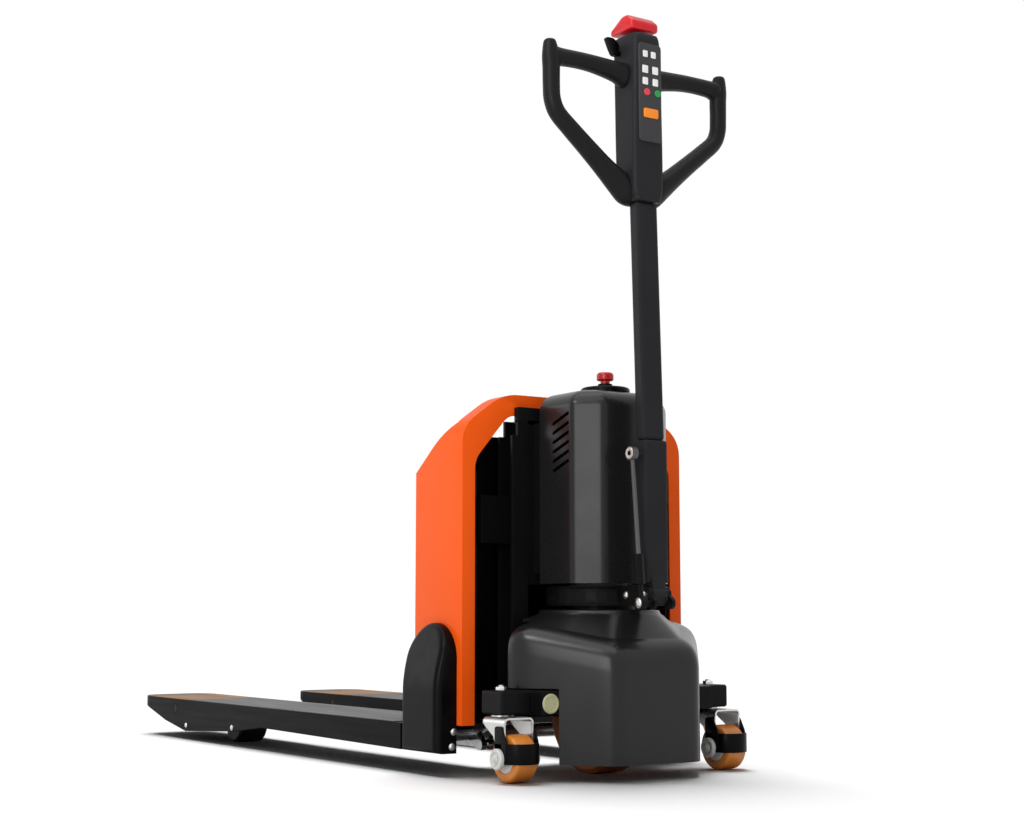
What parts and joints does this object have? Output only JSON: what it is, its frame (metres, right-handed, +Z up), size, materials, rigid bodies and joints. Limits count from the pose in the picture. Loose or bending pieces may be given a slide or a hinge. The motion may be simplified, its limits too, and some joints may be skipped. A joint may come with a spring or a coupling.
{
  "type": "powered pallet truck",
  "caption": "Walk-behind powered pallet truck with twin forks on a lifting carriage, an arched frame, a steered drive wheel and a tilting tiller.",
  "frame": {"origin": "middle of the footprint, on the floor", "axes": "+Y towards the fork tips, +X to the operator's right facing the forks, +Z up"},
  "size_m": [0.544, 1.5434, 1.2699],
  "materials": {
    "orange_paint": "satin",
    "black_paint": "satin",
    "black_plastic": "satin",
    "skirt_plastic": "glossy",
    "soft_grip": "matte",
    "zinc": "bright",
    "steel": "satin",
    "orange_tyre": "matte",
    "red_plastic": "satin",
    "green_plastic": "satin",
    "amber_plastic": "satin",
    "grey_panel": "satin",
    "nylon": "matte",
    "black_tyre": "matte",
    "motor_grey": "satin"
  },
  "bodies": {
    "chassis": {"chassis_frame": "black_paint", "mast": "black_paint", "neck_ring": "black_paint", "lower_skirt": "skirt_plastic", "upper_cover": "black_plastic", "cover_cap": "black_plastic", "stop_collar": "black_plastic", "lift_cylinder": "motor_grey", "pump_motor": "motor_grey", "motor_controller": "motor_grey", "caster_arm_left": "black_paint", "caster_arm_right": "black_paint"},
    "carriage": {"fork_left": "black_paint", "fork_right": "black_paint", "heel_guard_left": "black_plastic", "heel_guard_right": "black_plastic", "arch_frame": "orange_paint", "carriage_frame": "black_paint", "battery": "black_plastic", "lift_ram": "steel", "slide_pad_left": "nylon", "slide_pad_right": "nylon", "load_pin_left": "black_paint", "load_pin_right": "black_paint"},
    "rocker": {"rocker_shaft": "steel"},
    "steer": {"steer_head": "black_paint", "tiller_pin": "steel", "drive_gearbox": "motor_grey", "traction_motor": "motor_grey"},
    "drive_wheel": {"drive_hub": "motor_grey", "drive_tyre": "orange_tyre"},
    "tiller": {"tiller_base": "black_paint", "tiller_tube": "black_paint", "head_column": "black_plastic", "handle_loop_left": "soft_grip", "handle_loop_right": "soft_grip", "key_panel": "grey_panel", "spring_rod": "steel"},
    "spring_barrel": {"spring_barrel": "black_paint"},
    "stop_button": {"stop_button": "red_plastic"},
    "belly_switch": {"belly_switch": "red_plastic"},
    "thumb_paddles": {"thumb_paddles": "black_plastic"},
    "red_button": {"red_button": "red_plastic"},
    "green_button": {"green_button": "green_plastic"},
    "amber_button": {"amber_button": "amber_plastic"},
    "load_arm_left": {"load_arm_left": "black_paint"},
    "push_rod_left": {"push_rod_left": "steel"},
    "load_roller_left": {"load_roller_left": "black_tyre"},
    "caster_left": {"caster_fork_left": "zinc", "caster_band_left": "black_plastic"},
    "caster_wheel_left": {"caster_wheel_left": "orange_tyre"},
    "load_arm_right": {"load_arm_right": "black_paint"},
    "push_rod_right": {"push_rod_right": "steel"},
    "load_roller_right": {"load_roller_right": "black_tyre"},
    "caster_right": {"caster_fork_right": "zinc", "caster_band_right": "black_plastic"},
    "caster_wheel_right": {"caster_wheel_right": "orange_tyre"}
  },
  "joints": [
    {"name": "lift", "type": "slide", "parent": "chassis", "child": "carriage", "axis": [0, 0, 1], "range_m": [0, 0.115]},
    {"name": "rocker_turn", "type": "hinge", "parent": "carriage", "child": "rocker", "pos_m": [0, -0.43335, 0.062], "axis": [1, 0, 0], "range_deg": [0, 40]},
    {"name": "steer", "type": "hinge", "parent": "chassis", "child": "steer", "pos_m": [0, -0.58835, 0.25], "axis": [0, 0, 1], "range_deg": [-90, 90]},
    {"name": "drive_spin", "type": "hinge", "parent": "steer", "child": "drive_wheel", "pos_m": [0, -0.58835, 0.1], "axis": [1, 0, 0], "continuous": true},
    {"name": "tiller_tilt", "type": "hinge", "parent": "steer", "child": "tiller", "pos_m": [0, -0.74135, 0.292], "axis": [1, 0, 0], "range_deg": [0, 80], "stiffness_Nm_per_rad": 20, "springref_deg": -45.84},
    {"name": "spring_slide", "type": "slide", "parent": "tiller", "child": "spring_barrel", "axis": [0, 0.086, 0.9963], "range_m": [0, 0.026]},
    {"name": "stop_press", "type": "slide", "parent": "chassis", "child": "stop_button", "axis": [0, 0, -1], "range_m": [0, 0.005], "stiffness_N_per_m": 800, "springref_m": -0.002},
    {"name": "belly_press", "type": "slide", "parent": "tiller", "child": "belly_switch", "axis": [0, 0, -1], "range_m": [0, 0.005], "stiffness_N_per_m": 800, "springref_m": -0.002},
    {"name": "paddle_turn", "type": "hinge", "parent": "tiller", "child": "thumb_paddles", "pos_m": [0, -0.69335, 1.205], "axis": [1, 0, 0], "range_deg": [-20, 20], "stiffness_Nm_per_rad": 0.2},
    {"name": "red_press", "type": "slide", "parent": "tiller", "child": "red_button", "axis": [0, 1, 0], "range_m": [0, 0.0018], "stiffness_N_per_m": 400, "springref_m": -0.001},
    {"name": "green_press", "type": "slide", "parent": "tiller", "child": "green_button", "axis": [0, 1, 0], "range_m": [0, 0.0018], "stiffness_N_per_m": 400, "springref_m": -0.001},
    {"name": "amber_press", "type": "slide", "parent": "tiller", "child": "amber_button", "axis": [0, 1, 0], "range_m": [0, 0.0018], "stiffness_N_per_m": 400, "springref_m": -0.001},
    {"name": "load_arm_swing_left", "type": "hinge", "parent": "carriage", "child": "load_arm_left", "pos_m": [-0.19, 0.57165, 0.062], "axis": [1, 0, 0], "range_deg": [0, 40]},
    {"name": "push_rod_turn_left", "type": "hinge", "parent": "load_arm_left", "child": "push_rod_left", "pos_m": [-0.1395, 0.54165, 0.044], "axis": [1, 0, 0], "range_deg": [-40, 0]},
    {"name": "load_roller_spin_left", "type": "hinge", "parent": "load_arm_left", "child": "load_roller_left", "pos_m": [-0.19, 0.38317, 0.038], "axis": [1, 0, 0], "continuous": true},
    {"name": "caster_swivel_left", "type": "hinge", "parent": "chassis", "child": "caster_left", "pos_m": [-0.215, -0.61485, 0.1], "axis": [0, 0, 1], "continuous": true},
    {"name": "caster_spin_left", "type": "hinge", "parent": "caster_left", "child": "caster_wheel_left", "pos_m": [-0.215, -0.65435, 0.0375], "axis": [1, 0, 0], "continuous": true},
    {"name": "load_arm_swing_right", "type": "hinge", "parent": "carriage", "child": "load_arm_right", "pos_m": [0.19, 0.57165, 0.062], "axis": [1, 0, 0], "range_deg": [0, 40]},
    {"name": "push_rod_turn_right", "type": "hinge", "parent": "load_arm_right", "child": "push_rod_right", "pos_m": [0.1395, 0.54165, 0.044], "axis": [1, 0, 0], "range_deg": [-40, 0]},
    {"name": "load_roller_spin_right", "type": "hinge", "parent": "load_arm_right", "child": "load_roller_right", "pos_m": [0.19, 0.38317, 0.038], "axis": [1, 0, 0], "continuous": true},
    {"name": "caster_swivel_right", "type": "hinge", "parent": "chassis", "child": "caster_right", "pos_m": [0.215, -0.61485, 0.1], "axis": [0, 0, 1], "continuous": true},
    {"name": "caster_spin_right", "type": "hinge", "parent": "caster_right", "child": "caster_wheel_right", "pos_m": [0.215, -0.65435, 0.0375], "axis": [1, 0, 0], "continuous": true}
  ],
  "couplings": [
    {"joint": "rocker_turn", "follows": "lift", "rad_per_m": 6.0346},
    {"joint": "load_arm_swing_left", "follows": "lift", "rad_per_m": 6.0346},
    {"joint": "push_rod_turn_left", "follows": "lift", "rad_per_m": -6.0346},
    {"joint": "load_arm_swing_right", "follows": "lift", "rad_per_m": 6.0346},
    {"joint": "push_rod_turn_right", "follows": "lift", "rad_per_m": -6.0346},
    {"joint": "spring_slide", "follows": "tiller_tilt", "m_per_rad": 0.01842}
  ]
}
